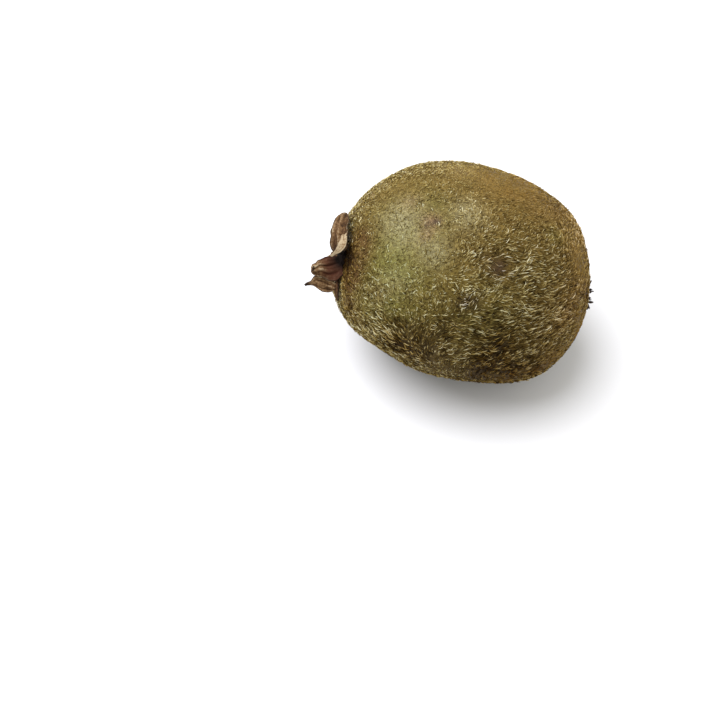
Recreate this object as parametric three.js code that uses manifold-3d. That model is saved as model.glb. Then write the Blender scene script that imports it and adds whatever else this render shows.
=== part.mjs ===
// A whole kiwi fruit lying on its side, in millimetres, with +Z up.
// The stem end, with its dried calyx, points to -X and the blossom end to +X.
// The origin is on the surface that the fruit rests on, under the middle of its outer box.
import * as THREE from 'three';
import { mergeVertices } from 'three/addons/utils/BufferGeometryUtils.js';
import Module from 'manifold-3d';

// Fruit: flesh and skin, grown as one piece
const LENGTH = 62; // stem end to blossom end
const WIDTH = 53; // across, as it lies
const THICKNESS = 50.5; // top to bottom, before the resting spot
const FULLER_ENDS = 0.08; // how much both ends swell past an ellipse
const FULLER_BLOSSOM_END = 0.05; // how much more of that is at the blossom end
const STEM_DIMPLE = { depth: 2.0, radius: 7, y: -3.5, z: 1.5 }; // off the axis, as it grew
const BLOSSOM_DIMPLE = { depth: 0.6, radius: 4.5, y: 0, z: 0 };
const REST_TILT = 10; // degrees that the stem end is raised
const SPOT_DEPTH = 0.5; // how far the skin is pressed flat where it rests
const STATIONS = 36; // rows of faces along the fruit
const SEGMENTS = 68; // faces round it

// Soft swellings and dents: towards (x, y, z), height in millimetres, spread on a unit sphere
const SWELLINGS = [
  { towards: [0.8, 0.4, 0.5], height: 0.7, spread: 0.06 },
  { towards: [0.95, -0.3, -0.05], height: 1.2, spread: 0.06 },
  { towards: [0.7, -0.65, -0.35], height: 1.7, spread: 0.06 },
  { towards: [0.1, -0.8, -0.6], height: -0.6, spread: 0.06 },
  { towards: [-0.45, -0.65, -0.6], height: -1.8, spread: 0.06 },
  { towards: [-0.9, 0.4, 0.1], height: -1.1, spread: 0.06 },
  { towards: [-0.7, 0.65, 0.35], height: -0.7, spread: 0.06 },
  { towards: [0.5, 0.8, -0.3], height: -0.6, spread: 0.08 },
  { towards: [-0.4, 0.7, -0.6], height: 0.5, spread: 0.08 },
];

// Calyx: a corky button round the stem scar, and five dried sepals
const BUTTON_RADIUS = 4.1;
const BUTTON_HEIGHT = 1.5; // above the bottom of the dimple
const SCAR_RADIUS = 2.0; // where the stalk broke off
const SCAR_DEPTH = 0.5;
const SEPAL_THICKNESS = 0.7;
const SEPAL_ROWS = 16;
const SEPAL_COLUMNS = 8;
// Each blade spans two edges from root to tip, left and right as seen from outside. Their points
// are x up, y to the far side and z away from the fruit, from the bottom of the dimple.
// bulge: how far the middle of the blade stands out from its edges.
const HOOD = {
  left: [[1, -0.6, 1], [1.8, 0.8, 2.7], [3.8, 2, 3.5], [5.3, 4, 3.7], [6, 6.5, 2.9], [6.1, 8.2, 1.5]],
  right: [
    [3.4, -2.2, 0.6], [6.6, -2.8, 0.3], [8.7, -1.4, 0.3], [9.5, 1.2, 0.4], [9.1, 4.1, 0.5],
    [6.9, 7.8, 0.8],
  ],
  bulge: 1.3,
};
const HOOD_FLAP = {
  left: [[8.8, 0.2, 0.7], [8.9, -1.8, 0.7], [8.4, -3.3, 0.8], [7, -4.2, 1.4], [4.5, -4.2, 3.2]],
  right: [[7.4, 0.8, 1.8], [7.8, -0.6, 2.1], [7.2, -2, 2.3], [6.2, -2.9, 2.7], [4.1, -3.7, 3.7]],
  bulge: 0.3,
};
const OUTER_SEPAL = {
  left: [
    [0.6, -5.6, -0.4], [-1, -6.2, 0.8], [-1.7, -5.9, 2.2], [-1, -5.7, 3.8], [-0.6, -5.4, 5.3],
    [-0.4, -5.4, 6.4],
  ],
  right: [
    [2.6, -2.2, 0.4], [2.7, -2.4, 2.4], [2.4, -3, 4.2], [1.9, -3.4, 5.6], [1.2, -4.1, 6.6],
    [0.3, -4.8, 7],
  ],
  bulge: 0.6,
};
const LOWER_SEPAL = {
  left: [
    [-3, -3, 0.5], [-3.8, -6.6, 0.4], [-4.2, -7.4, 1.4], [-4.4, -7.6, 3], [-4.1, -7.1, 4.6],
    [-3.7, -6.8, 6], [-3.9, -7.4, 7.5],
  ],
  right: [
    [-1, -3.6, 0.5], [-2.2, -5.8, 0.8], [-1.8, -5.3, 1.9], [-1.6, -4.8, 3.5], [-1.6, -4.9, 5.2],
    [-2.6, -5.9, 6.4], [-3.6, -7.2, 7.8],
  ],
  bulge: 0.5,
};
const EDGE_SEPAL = {
  left: [[-0.8, -3.9, 0.4], [-1.9, -7, 0.2], [-3.2, -8.6, -0.3], [-4.8, -9, -0.6]],
  right: [[-2.8, -2.8, 0.5], [-4, -5.7, 0.6], [-4.5, -7.2, 0.3], [-5.3, -8.6, -0.3]],
  bulge: 0.2,
};
const FAR_SEPAL = {
  left: [[-3.9, -1, 0.6], [-6, -1.2, 1.3], [-8, -0.4, 1.5], [-9, 0.9, 1.3]],
  right: [[-2.2, 3.2, 0.9], [-4, 4.6, 1.8], [-6.4, 4.4, 2], [-8.7, 2.2, 1.5]],
  bulge: 0.5,
};
const SEPALS = [HOOD, HOOD_FLAP, OUTER_SEPAL, LOWER_SEPAL, EDGE_SEPAL, FAR_SEPAL];

// Dried styles: a dark scar at the blossom end with shrivelled styles stuck together in pointed clumps.
// A clump's end is given as down, to the far side and away from the fruit, from the dimple's bottom
const STYLE_SCAR_RADIUS = 2.3;
const STYLE_SCAR_HEIGHT = 1.1;
const STYLE_CLUMPS = [
  [-3.9, 2.6, 1.2], [-2.3, 0.4, 2.4], [-0.7, -1.5, 3.2], [1.3, -2.7, 2.6], [3.1, -0.4, 1.9], [2, 3, 2.2],
  [-0.9, 3.9, 2.1],
];
const STYLE_ROOT = { out: 1.2, height: 0.4 };
const STYLE_RADII = [1, 0.75, 0.3];
const STYLE_BOW = 0.3;
const STYLE_ROUGHNESS = 0.2; // of the radius
const STYLE_SEED = 7;

const CLEARANCE = 0.3; // between neighbouring solids

const wasm = await Module();
wasm.setup();

const radians = THREE.MathUtils.degToRad;

// A repeatable run of numbers from 0 to 1.
function seeded(seed) {
  let state = seed;
  return () => {
    state = (state * 16807) % 2147483647;
    return state / 2147483647;
  };
}

// A closed geometry as a solid that can be joined and cut.
function solidOf(geometry) {
  const bare = geometry.clone();
  bare.deleteAttribute('normal');
  bare.deleteAttribute('uv');
  const merged = mergeVertices(bare, 1e-4);
  return new wasm.Manifold(new wasm.Mesh({
    numProp: 3,
    vertProperties: merged.attributes.position.array,
    triVerts: new Uint32Array(merged.index.array),
  }));
}

function geometryOf(solid) {
  const mesh = solid.getMesh();
  const geometry = new THREE.BufferGeometry();
  geometry.setAttribute('position', new THREE.BufferAttribute(mesh.vertProperties, 3));
  geometry.setIndex(new THREE.BufferAttribute(mesh.triVerts, 1));
  geometry.computeVertexNormals();
  return geometry;
}

// The indexed surface over a grid of points that closes on itself round each row.
function ringSurface(rows, firstCap, lastCap) {
  const points = [firstCap, ...rows.flat(), lastCap];
  const across = rows[0].length;
  const last = points.length - 1;
  const at = (row, column) => 1 + row * across + (column % across);
  const faces = [];
  for (let column = 0; column < across; column++) {
    faces.push(0, at(0, column + 1), at(0, column));
    faces.push(last, at(rows.length - 1, column), at(rows.length - 1, column + 1));
    for (let row = 0; row < rows.length - 1; row++) {
      faces.push(at(row, column), at(row, column + 1), at(row + 1, column));
      faces.push(at(row, column + 1), at(row + 1, column + 1), at(row + 1, column));
    }
  }
  const geometry = new THREE.BufferGeometry().setFromPoints(points);
  geometry.setIndex(faces);
  return geometry;
}

// How far a swelling or dent moves the skin in a direction on the unit sphere.
function swelling(direction) {
  return SWELLINGS.reduce((sum, { towards, height, spread }) => {
    const away = 1 - direction.dot(new THREE.Vector3(...towards).normalize());
    return sum + height * Math.exp(-away / spread);
  }, 0);
}

// A point of the skin, grown outwards by grow. The polar angle runs from the stem end.
function skinPoint(polar, azimuth, grow) {
  const station = -Math.cos(polar);
  const fullness = 1 + FULLER_ENDS * station ** 2 + FULLER_BLOSSOM_END * station ** 3;
  const round = Math.sin(polar) * fullness;
  const direction = new THREE.Vector3(
    station, -Math.sin(polar) * Math.sin(azimuth), Math.sin(polar) * Math.cos(azimuth));
  const out = swelling(direction) + grow;
  const point = new THREE.Vector3(
    station * (LENGTH / 2 + out),
    -round * Math.sin(azimuth) * (WIDTH / 2 + out),
    round * Math.cos(azimuth) * (THICKNESS / 2 + out));
  const dimple = station < 0 ? STEM_DIMPLE : BLOSSOM_DIMPLE;
  const away = Math.hypot(point.y - dimple.y, point.z - dimple.z) / dimple.radius;
  point.x -= Math.sign(station) * dimple.depth * Math.exp(-(away ** 2));
  return point;
}

// The skin as a closed surface, tilted as the fruit rests.
function skinGeometry(grow) {
  const rows = [];
  for (let row = 1; row < STATIONS; row++) {
    const polar = Math.PI * row / STATIONS;
    const ring = [];
    for (let k = 0; k < SEGMENTS; k++) ring.push(skinPoint(polar, 2 * Math.PI * k / SEGMENTS, grow));
    rows.push(ring);
  }
  return ringSurface(rows, skinPoint(0, 0, grow), skinPoint(Math.PI, 0, grow))
    .rotateY(radians(REST_TILT));
}

// The bottom of a dimple, where a piece is seated.
function seatPoint(dimple, side) {
  const polar = Math.asin(Math.hypot(dimple.y, dimple.z) / (WIDTH / 2));
  return skinPoint(side < 0 ? polar : Math.PI - polar, Math.atan2(-dimple.y, dimple.z), 0);
}

// Moves a piece from its own frame, with +Z away from the fruit, to the stem or blossom end.
function ontoEnd(geometry, side) {
  const seat = seatPoint(side < 0 ? STEM_DIMPLE : BLOSSOM_DIMPLE, side);
  return geometry.rotateY(side * Math.PI / 2)
    .translate(seat.x, seat.y, seat.z)
    .rotateY(radians(REST_TILT));
}

// A turned button. The profile is pairs of radius and height.
function turned(profile) {
  const points = profile.map(([radius, height]) => new THREE.Vector2(radius, height));
  return new THREE.LatheGeometry(points, 28).rotateX(Math.PI / 2);
}

function calyxButton() {
  const rim = BUTTON_RADIUS * 0.72;
  return turned([
    [0, -1], [BUTTON_RADIUS, -1], [BUTTON_RADIUS, BUTTON_HEIGHT * 0.45],
    [rim, BUTTON_HEIGHT], [SCAR_RADIUS, BUTTON_HEIGHT * 0.9],
    [SCAR_RADIUS * 0.7, BUTTON_HEIGHT - SCAR_DEPTH], [0, BUTTON_HEIGHT - SCAR_DEPTH],
  ]);
}

function edgeCurve(points) {
  return new THREE.CatmullRomCurve3(
    points.map((point) => new THREE.Vector3(...point)), false, 'catmullrom', 0.5);
}

// A blade between its two edges in the end's own frame, with both of its faces split alike.
function sepalGeometry({ left, right, bulge }) {
  const leftEdge = edgeCurve(left);
  const rightEdge = edgeCurve(right);
  const rings = [];
  for (let row = 0; row <= SEPAL_ROWS; row++) {
    const share = row / SEPAL_ROWS;
    const from = leftEdge.getPoint(share);
    const to = rightEdge.getPoint(share);
    const along = leftEdge.getTangent(share).add(rightEdge.getTangent(share));
    const face = to.clone().sub(from).cross(along).normalize();
    rings.push(bladeRing(from, to, face, bulge * Math.sin(Math.PI * share) ** 0.8));
  }
  const middle = (ring) => ring[0].clone().add(ring[SEPAL_COLUMNS]).multiplyScalar(0.5);
  return ringSurface(rings, middle(rings[0]), middle(rings[SEPAL_ROWS]));
}

// One cross row: along the outer face from its left edge, then back along the inner one.
function bladeRing(from, to, face, lift) {
  const point = (v, side) => from.clone().lerp(to, (1 - v) / 2)
    .addScaledVector(face, lift * (1 - v * v) + side * SEPAL_THICKNESS / 2 * (1 - 0.25 * v * v));
  const ring = [];
  for (let k = 0; k <= SEPAL_COLUMNS; k++) ring.push(point(1 - 2 * k / SEPAL_COLUMNS, 1));
  for (let k = 0; k <= SEPAL_COLUMNS; k++) ring.push(point(2 * k / SEPAL_COLUMNS - 1, -1));
  return ring;
}

// A six-sided clump that narrows from the scar to its end, bowed away from the fruit.
function styleGeometry(end, between) {
  const tip = new THREE.Vector3(...end);
  const root = tip.clone().setZ(0).setLength(STYLE_ROOT.out).setZ(STYLE_ROOT.height);
  const along = tip.clone().sub(root).normalize();
  const sideways = new THREE.Vector3(0, 0, 1).cross(along).normalize();
  const face = along.clone().cross(sideways);
  const middle = root.clone().lerp(tip, 0.5).addScaledVector(face, STYLE_BOW);
  const rings = [root, middle, tip].map((centre, row) => [0, 60, 120, 180, 240, 300].map((degrees) => {
    const radius = STYLE_RADII[row] * between(1 - STYLE_ROUGHNESS, 1 + STYLE_ROUGHNESS);
    return centre.clone()
      .addScaledVector(sideways, radius * Math.cos(radians(degrees)))
      .addScaledVector(face, radius * Math.sin(radians(degrees)));
  }));
  return ringSurface(rings, root, tip);
}

// The fruit with the flat spot that it rests on.
function restingFruit() {
  const skin = skinGeometry(0);
  skin.computeBoundingBox();
  const floor = skin.boundingBox.min.z + SPOT_DEPTH;
  const block = new THREE.BoxGeometry(LENGTH, WIDTH, 10).translate(0, 0, floor - 5);
  return solidOf(skin).subtract(solidOf(block));
}

function calyx(grownFruit) {
  return SEPALS
    .map((sepal) => solidOf(ontoEnd(sepalGeometry(sepal), -1)))
    .reduce((joined, sepal) => joined.add(sepal), solidOf(ontoEnd(calyxButton(), -1)))
    .subtract(grownFruit);
}

function driedStyles(grownFruit) {
  const random = seeded(STYLE_SEED);
  const between = (low, high) => low + (high - low) * random();
  let joined = solidOf(ontoEnd(turned([
    [0, -1], [STYLE_SCAR_RADIUS, -1], [STYLE_SCAR_RADIUS, STYLE_SCAR_HEIGHT * 0.7],
    [STYLE_SCAR_RADIUS * 0.6, STYLE_SCAR_HEIGHT], [0, STYLE_SCAR_HEIGHT * 0.8],
  ]), 1));
  for (const end of STYLE_CLUMPS) {
    joined = joined.add(solidOf(ontoEnd(styleGeometry(end, between), 1)));
  }
  return joined.subtract(grownFruit);
}

function named(name, solid, color, roughness) {
  const material = new THREE.MeshStandardMaterial({ color, roughness, metalness: 0 });
  const mesh = new THREE.Mesh(geometryOf(solid), material);
  mesh.name = name;
  return mesh;
}

const grownFruit = solidOf(skinGeometry(CLEARANCE));
const kiwi = new THREE.Group();
kiwi.add(
  named('fruit', restingFruit(), 0x7d6a3a, 0.85),
  named('calyx', calyx(grownFruit), 0x6b4a2e, 0.9),
  named('dried_styles', driedStyles(grownFruit), 0x2b1d17, 0.95),
);

const box = new THREE.Box3().setFromObject(kiwi);
const middle = box.getCenter(new THREE.Vector3());
kiwi.position.set(-middle.x, -middle.y, -box.min.z);

export default kiwi;
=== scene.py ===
# A whole kiwi fruit on a pale floor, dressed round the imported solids.
# Sizes are in millimetres and turn into metres where a mesh, a light or the camera is made.
import itertools
import math

import bpy
import numpy as np
from mathutils import Matrix, Vector
from mathutils.kdtree import KDTree


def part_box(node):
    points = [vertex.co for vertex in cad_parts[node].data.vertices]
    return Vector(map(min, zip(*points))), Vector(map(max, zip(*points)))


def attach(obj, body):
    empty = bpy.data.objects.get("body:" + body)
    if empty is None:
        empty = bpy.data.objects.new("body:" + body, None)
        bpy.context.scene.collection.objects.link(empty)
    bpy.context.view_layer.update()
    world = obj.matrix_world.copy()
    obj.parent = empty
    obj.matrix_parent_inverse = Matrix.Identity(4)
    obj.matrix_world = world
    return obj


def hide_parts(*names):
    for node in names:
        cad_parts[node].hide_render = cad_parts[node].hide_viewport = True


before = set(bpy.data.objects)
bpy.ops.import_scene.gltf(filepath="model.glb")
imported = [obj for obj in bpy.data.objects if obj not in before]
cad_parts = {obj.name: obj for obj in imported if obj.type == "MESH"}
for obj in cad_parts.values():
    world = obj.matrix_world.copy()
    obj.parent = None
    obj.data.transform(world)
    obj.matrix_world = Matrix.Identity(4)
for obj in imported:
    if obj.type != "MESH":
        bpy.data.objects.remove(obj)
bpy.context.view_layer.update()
METRE = 1000.0

# The fruit's form, the same as the solid's
LENGTH = 62.0
WIDTH = 53.0
THICKNESS = 50.5
FULLER_ENDS = 0.08
FULLER_BLOSSOM_END = 0.05
STEM_DIMPLE = {"depth": 2.0, "radius": 7.0, "y": -3.5, "z": 1.5}
BLOSSOM_DIMPLE = {"depth": 0.6, "radius": 4.5, "y": 0.0, "z": 0.0}
REST_TILT = math.radians(10)
SPOT_DEPTH = 0.5
# Soft swellings and dents: towards, height in millimetres, spread on a unit sphere
SWELLINGS = [
    ((0.8, 0.4, 0.5), 0.7, 0.06),
    ((0.95, -0.3, -0.05), 1.2, 0.06),
    ((0.7, -0.65, -0.35), 1.7, 0.06),
    ((0.1, -0.8, -0.6), -0.6, 0.06),
    ((-0.45, -0.65, -0.6), -1.8, 0.06),
    ((-0.9, 0.4, 0.1), -1.1, 0.06),
    ((-0.7, 0.65, 0.35), -0.7, 0.06),
    ((0.5, 0.8, -0.3), -0.6, 0.08),
    ((-0.4, 0.7, -0.6), 0.5, 0.08),
]
CUBE_CELLS = 92  # faces along each edge of the cube that the skin is blown up from

# The photograph's camera
CAMERA_AZIMUTH = math.radians(8)
CAMERA_ELEVATION = math.radians(50)
CAMERA_ROLL = math.radians(10.5)
CAMERA_DISTANCE = 340.0
FOCAL_PIXELS = 1411.0
IMAGE_PIXELS = 720
FRUIT_MIDDLE_PIXEL = (457.5, 271.8)
SENSOR = 36.0

# Places on the skin: the pixel where the photograph shows the middle, the spread on a unit
# sphere, and the strength
TONE_PATCHES = {
    "green": [
        ((385, 275), 0.08, 1.0), ((480, 320), 0.04, 0.5), ((420, 215), 0.03, 0.5), ((555, 235), 0.006, 0.7),
    ],
    "golden": [
        ((525, 190), 0.10, 0.9), ((460, 172), 0.03, 0.1), ((578, 240), 0.05, 0.8), ((578, 300), 0.03, 0.8),
        ((577, 333), 0.01, 0.8), ((550, 360), 0.012, 0.9), ((505, 378), 0.01, 0.8), ((552, 322), 0.03, 0.4),
    ],
    # dark is painted shade, mostly towards the bottom and in the calyx's hollow, with some of the skin's own
    # darker brown
    "dark": [
        ((495, 372), 0.06, 1.0), ((545, 352), 0.02, 0.1), ((420, 352), 0.03, 0.8), ((497, 358), 0.008, 0.8),
        ((490, 335), 0.02, 0.6), ((400, 335), 0.02, 0.5), ((450, 325), 0.015, 0.4), ((352, 312), 0.006, 0.3),
        ((349, 257), 0.0016, 1.3), ((586, 301), 0.003, 0.5), ((560, 262), 0.02, 0.1),
    ],
}
MARK_PATCHES = {
    "calyx": [
        ((359, 242), 0.011, 0.9), ((355, 262), 0.014, 1.0), ((350, 282), 0.008, 0.7),
        ((350, 306), 0.006, 0.5), ((535, 370), 0.004, 0.5), ((480, 374), 0.006, 0.6),
        ((585, 294), 0.004, 0.4),
    ],
    "scuff": [
        ((497, 267), 0.004, 1.1), ((463, 303), 0.0028, 0.75), ((476, 304), 0.0028, 0.7),
        ((486, 262), 0.003, 0.4), ((436, 222), 0.0006, 0.8), ((427, 226), 0.0005, 0.8),
        ((409, 219), 0.0005, 0.4),
    ],
    "blush": [
        ((430, 222), 0.004, 0.9), ((426, 236), 0.0015, 0.7), ((412, 203), 0.006, 0.4),
        ((378, 292), 0.006, 0.5),
    ],
}
COAT_PATCHES = {
    "smooth": [
        ((510, 185), 0.1, 1.0), ((400, 190), 0.03, 0.8), ((580, 265), 0.012, 1.0), ((578, 318), 0.008, 0.9),
        ((425, 235), 0.04, 0.7), ((460, 172), 0.03, 0.7), ((577, 333), 0.006, 0.8), ((551, 361), 0.008, 0.8),
        ((505, 379), 0.008, 0.8),
    ],
    "long": [
        ((545, 300), 0.1, 1.0), ((480, 345), 0.07, 1.0), ((385, 338), 0.03, 1.0), ((500, 260), 0.03, 0.6),
    ],
    # sheen is a painted sheen: the skin painted pale grey-green where light is reflected through thin fur
    "painted_sheen": [
        ((400, 215), 0.012, 0.9), ((405, 235), 0.01, 0.6), ((433, 252), 0.008, 0.9), ((468, 212), 0.012, 0.8),
        ((395, 280), 0.01, 0.4),
    ],
    "thin": [((400, 235), 0.05, 0.75), ((455, 205), 0.02, 0.4), ((525, 185), 0.05, 0.25)],
    "bold": [
        ((420, 354), 0.015, 1.2), ((395, 340), 0.01, 0.8), ((500, 362), 0.02, 0.3), ((470, 303), 0.003, 1.0),
    ],
    # pale is painted light: paler hairs where the light falls on the upper middle and top
    "pale": [
        ((470, 212), 0.016, 1.0), ((425, 240), 0.02, 0.3), ((463, 272), 0.015, 0.5), ((460, 172), 0.015, 1.0),
        ((545, 300), 0.02, 0.15),
    ],
}
# Painted shade: how dark the skin is painted underneath, partly its own darker brown, and the painted shadow
# round the hollow of the calyx, and how far that spreads
UNDERSIDE_PAINTED_SHADE = 0.9
HOLLOW_PAINTED_SHADOW = 1.6
HOLLOW_SHADOW_SPREAD = 2.8
# Which way the hairs lie: the pixel, degrees anticlockwise from the picture's right, the spread,
# and the scatter in degrees
LAY = [
    ((540, 300), 10, 0.12, 26),
    ((470, 290), 12, 0.06, 55),
    ((500, 225), 45, 0.04, 35),
    ((410, 240), 60, 0.10, 160),
    ((380, 290), 150, 0.05, 110),
    ((375, 330), 115, 0.03, 35),
    ((400, 345), 108, 0.02, 22),
    ((425, 357), 104, 0.03, 22),
    ((460, 345), 8, 0.02, 35),
    ((480, 375), 95, 0.03, 30),
    ((545, 365), 40, 0.03, 35),
    ((460, 175), 60, 0.05, 80),
    ((575, 240), 80, 0.04, 50),
]
# Where no patch reaches: a faint lie towards the blossom end
PLAIN_LAY = {"towards": (1.0, 0.1, 0.0), "weight": 0.12, "scatter": 35.0}

# The four coats of fur. A hair has so many stations from root to tip. Lengths and radius are in
# millimetres, lift is degrees off the skin, and level shifts the shade where the fur is smooth.
COATS = [
    {
        "name": "down_brown", "colour": "brown", "count": 19600, "stations": 3, "lengths": (0.7, 1.4),
        "radius": 0.075, "lift": (8, 38), "level": 0.14, "seed": 101,
    },
    {
        "name": "down_pale", "colour": "pale", "count": 19600, "stations": 3, "lengths": (0.6, 1.3),
        "radius": 0.07, "lift": (8, 36), "level": -0.1, "seed": 202,
    },
    {
        "name": "hairs_brown", "colour": "brown", "count": 12200, "stations": 4, "lengths": (1.1, 2.0),
        "radius": 0.085, "lift": (10, 42), "level": 0.14, "seed": 303,
    },
    {
        "name": "hairs_pale", "colour": "pale", "count": 12200, "stations": 4, "lengths": (1.0, 2.2),
        "radius": 0.08, "lift": (12, 44), "level": -0.1, "seed": 404,
    },
]
SPARE_ROOTS = 1.35  # roots drawn for each one kept
ROOT_HEIGHT = 0.35  # no hair grows lower than this above the floor
ROOT_DEPTH = 0.12  # how far a root is sunk into the skin
HAIR_START = 0.02  # how high above the skin a hair's first step starts
HAIR_FLOOR = 0.05  # no station of a hair is lower than this
THINNING = 0.6  # share of hairs lost where the fur is thinnest
# Noise that makes neighbouring hairs lean together, and noise that makes them alike in shade
CLUMP_SIZE = 2.4
CLUMP_SEED = 77
SHADE_SIZE = 0.9
SHADE_SEED = 78
MIDDLE_SHADE = 0.46
WANDER = 0.26  # radians by which a hair bends sideways at each station
# How clear the fur keeps of the middle of each end, and of every point of the pieces there
BUTTON_CLEAR = 3.8
STYLE_CLEAR = 3.1
END_CLEAR = 0.14

NOISE_TABLE = 4096
NOISE_PRIMES = (73856093, 19349663, 83492791)


def unit(vectors):
    return vectors / np.linalg.norm(vectors, axis=-1, keepdims=True)


def lattice_noise(points, cell, seed):
    """Smooth noise from -1 to 1, with features about one cell across."""
    table = np.random.default_rng(seed).uniform(-1, 1, NOISE_TABLE)
    scaled = points / cell
    base = np.floor(scaled).astype(np.int64)
    part = scaled - base
    part = part * part * (3 - 2 * part)
    total = np.zeros(len(points))
    for corner in itertools.product((0, 1), repeat=3):
        cells = base + np.array(corner)
        scattered_cells = cells * np.array(NOISE_PRIMES)
        key = scattered_cells[:, 0] ^ scattered_cells[:, 1] ^ scattered_cells[:, 2]
        weight = np.where(np.array(corner) == 1, part, 1 - part).prod(axis=1)
        total += table[key & NOISE_TABLE - 1] * weight
    return total


def smoothstep(values, low, high):
    share = np.clip((values - low) / (high - low), 0, 1)
    return share * share * (3 - 2 * share)


# The skin
def tilted(points):
    """Turns points from the fruit's own axis to how it rests, with the stem end raised."""
    c, s = math.cos(REST_TILT), math.sin(REST_TILT)
    return points @ np.array([[c, 0, -s], [0, 1, 0], [s, 0, c]])


def skin_points(directions):
    """The skin's points towards unit directions, before it is tilted."""
    station = directions[:, 0]
    fullness = 1 + FULLER_ENDS * station**2 + FULLER_BLOSSOM_END * station**3
    out = np.zeros(len(directions))
    for towards, height, spread in SWELLINGS:
        out += height * np.exp(-(1 - directions @ unit(np.array(towards))) / spread)
    points = np.stack([
        station * (LENGTH / 2 + out),
        directions[:, 1] * fullness * (WIDTH / 2 + out),
        directions[:, 2] * fullness * (THICKNESS / 2 + out),
    ], axis=1)
    for dimple, side in ((STEM_DIMPLE, -1), (BLOSSOM_DIMPLE, 1)):
        away = np.hypot(points[:, 1] - dimple["y"], points[:, 2] - dimple["z"]) / dimple["radius"]
        points[:, 0] -= np.where(np.sign(station) == side, side * dimple["depth"] * np.exp(-(away**2)), 0)
    return points


def cube_sphere(cells):
    """Unit directions and the four-cornered faces of a cube blown up to a sphere."""
    steps = np.arange(cells + 1)
    u, v = (grid.ravel() for grid in np.meshgrid(steps, steps, indexing="ij"))
    corners = []
    for axis, side in itertools.product(range(3), (0, cells)):
        lattice = np.empty((len(u), 3), int)
        lattice[:, axis] = side
        lattice[:, (axis + 1) % 3] = u if side else v
        lattice[:, (axis + 2) % 3] = v if side else u
        corners.append(lattice)
    lattice, index = np.unique(np.concatenate(corners), axis=0, return_inverse=True)
    index = index.reshape(6, cells + 1, cells + 1)
    faces = np.stack([index[:, :-1, :-1], index[:, 1:, :-1], index[:, 1:, 1:], index[:, :-1, 1:]], axis=-1)
    flat = np.tan((lattice / cells * 2 - 1) * math.pi / 4)
    return unit(flat), faces.reshape(-1, 4)


def face_normals(points, faces):
    across = points[faces[:, 2]] - points[faces[:, 0]]
    along = points[faces[:, 3 % faces.shape[1]]] - points[faces[:, 1]]
    return np.cross(across, along)


def point_normals(points, faces):
    total = np.zeros_like(points)
    normals = face_normals(points, faces)
    for corner in range(faces.shape[1]):
        np.add.at(total, faces[:, corner], normals)
    return unit(total)


def skin_surface():
    """Points, normals and faces of the resting skin, and the shift to the solid's place."""
    directions, faces = cube_sphere(CUBE_CELLS)
    points = tilted(skin_points(directions))
    spot = points[:, 2].min() + SPOT_DEPTH
    points[:, 2] = np.maximum(points[:, 2], spot)
    low, high = (np.array(corner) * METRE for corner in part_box("fruit"))
    shift = (low + high - points.min(axis=0) - points.max(axis=0)) / 2
    shift[2] = low[2] - spot
    points += shift
    normals = point_normals(points, faces)
    relief = 0.16 * lattice_noise(points, 7.0, 11)
    relief += 0.07 * lattice_noise(points, 2.2, 12)
    relief += 0.045 * lattice_noise(points, 1.0, 13)
    relief *= smoothstep(points[:, 2], 0.1, 2.0)
    points = points + normals * relief[:, None]
    return points, point_normals(points, faces), faces, shift


# The camera
def camera_matrix():
    """Rows: the camera's right, up and forward directions in the world."""
    az, el, roll = CAMERA_AZIMUTH, CAMERA_ELEVATION, CAMERA_ROLL
    forward = Vector((math.sin(az) * math.cos(el), math.cos(az) * math.cos(el), -math.sin(el)))
    right = Vector((math.cos(az), -math.sin(az), 0))
    up = right.cross(forward)
    rolled_right = math.cos(roll) * right + math.sin(roll) * up
    rolled_up = -math.sin(roll) * right + math.cos(roll) * up
    aimed = Matrix((rolled_right, rolled_up, forward))
    half = IMAGE_PIXELS / 2
    x, y = FRUIT_MIDDLE_PIXEL
    towards = Vector(((x - half) / FOCAL_PIXELS, (half - y) / FOCAL_PIXELS, 1)).normalized()
    turn = towards.rotation_difference(Vector((0, 0, 1))).to_matrix()
    return turn.inverted() @ aimed, forward


def make_camera(middle):
    rows, forward = camera_matrix()
    data = bpy.data.cameras.new("camera")
    data.sensor_width = SENSOR
    data.lens = FOCAL_PIXELS * SENSOR / IMAGE_PIXELS
    data.clip_start = 0.01
    camera = bpy.data.objects.new("camera", data)
    place = (Vector(middle) - forward * CAMERA_DISTANCE) / METRE
    turn = Matrix((rows[0], rows[1], -rows[2])).transposed()
    camera.matrix_world = Matrix.Translation(place) @ turn.to_4x4()
    bpy.context.scene.collection.objects.link(camera)
    bpy.context.scene.camera = camera


class Photograph:
    """Finds what the photograph's camera sees of the skin at a pixel."""

    def __init__(self, skin, middle):
        self.skin = skin
        self.middle = middle
        self.rows, forward = camera_matrix()
        self.place = (Vector(middle) - forward * CAMERA_DISTANCE) / METRE

    def direction(self, pixel):
        """The direction from the fruit's middle to the skin that shows at a pixel."""
        half = IMAGE_PIXELS / 2
        ray = Vector(((pixel[0] - half) / FOCAL_PIXELS, (half - pixel[1]) / FOCAL_PIXELS, 1))
        hit, place, _, _ = self.skin.ray_cast(self.place, (self.rows.transposed() @ ray).normalized())
        if not hit:
            raise ValueError(f"no skin shows at pixel {pixel}")
        return unit(np.array(place) * METRE - self.middle)

    def across(self, degrees):
        """A direction in the picture, anticlockwise from its right, as one in the world."""
        turn = math.radians(degrees)
        return np.array(self.rows[0]) * math.cos(turn) + np.array(self.rows[1]) * math.sin(turn)


def patch_weight(directions, patches, photograph):
    total = np.zeros(len(directions))
    for pixel, spread, height in patches:
        away = 1 - directions @ photograph.direction(pixel)
        total += height * np.exp(-away / spread)
    return np.clip(total, 0, 1)


def painted_skin_sheen(points, photograph):
    """How strongly the skin is painted pale grey-green where the fur is thin: a painted sheen."""
    weight = patch_weight(unit(points - photograph.middle), COAT_PATCHES["painted_sheen"], photograph)
    return np.clip(weight * (1 + 0.3 * lattice_noise(points, 3.0, 23)), 0, 1)


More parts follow.
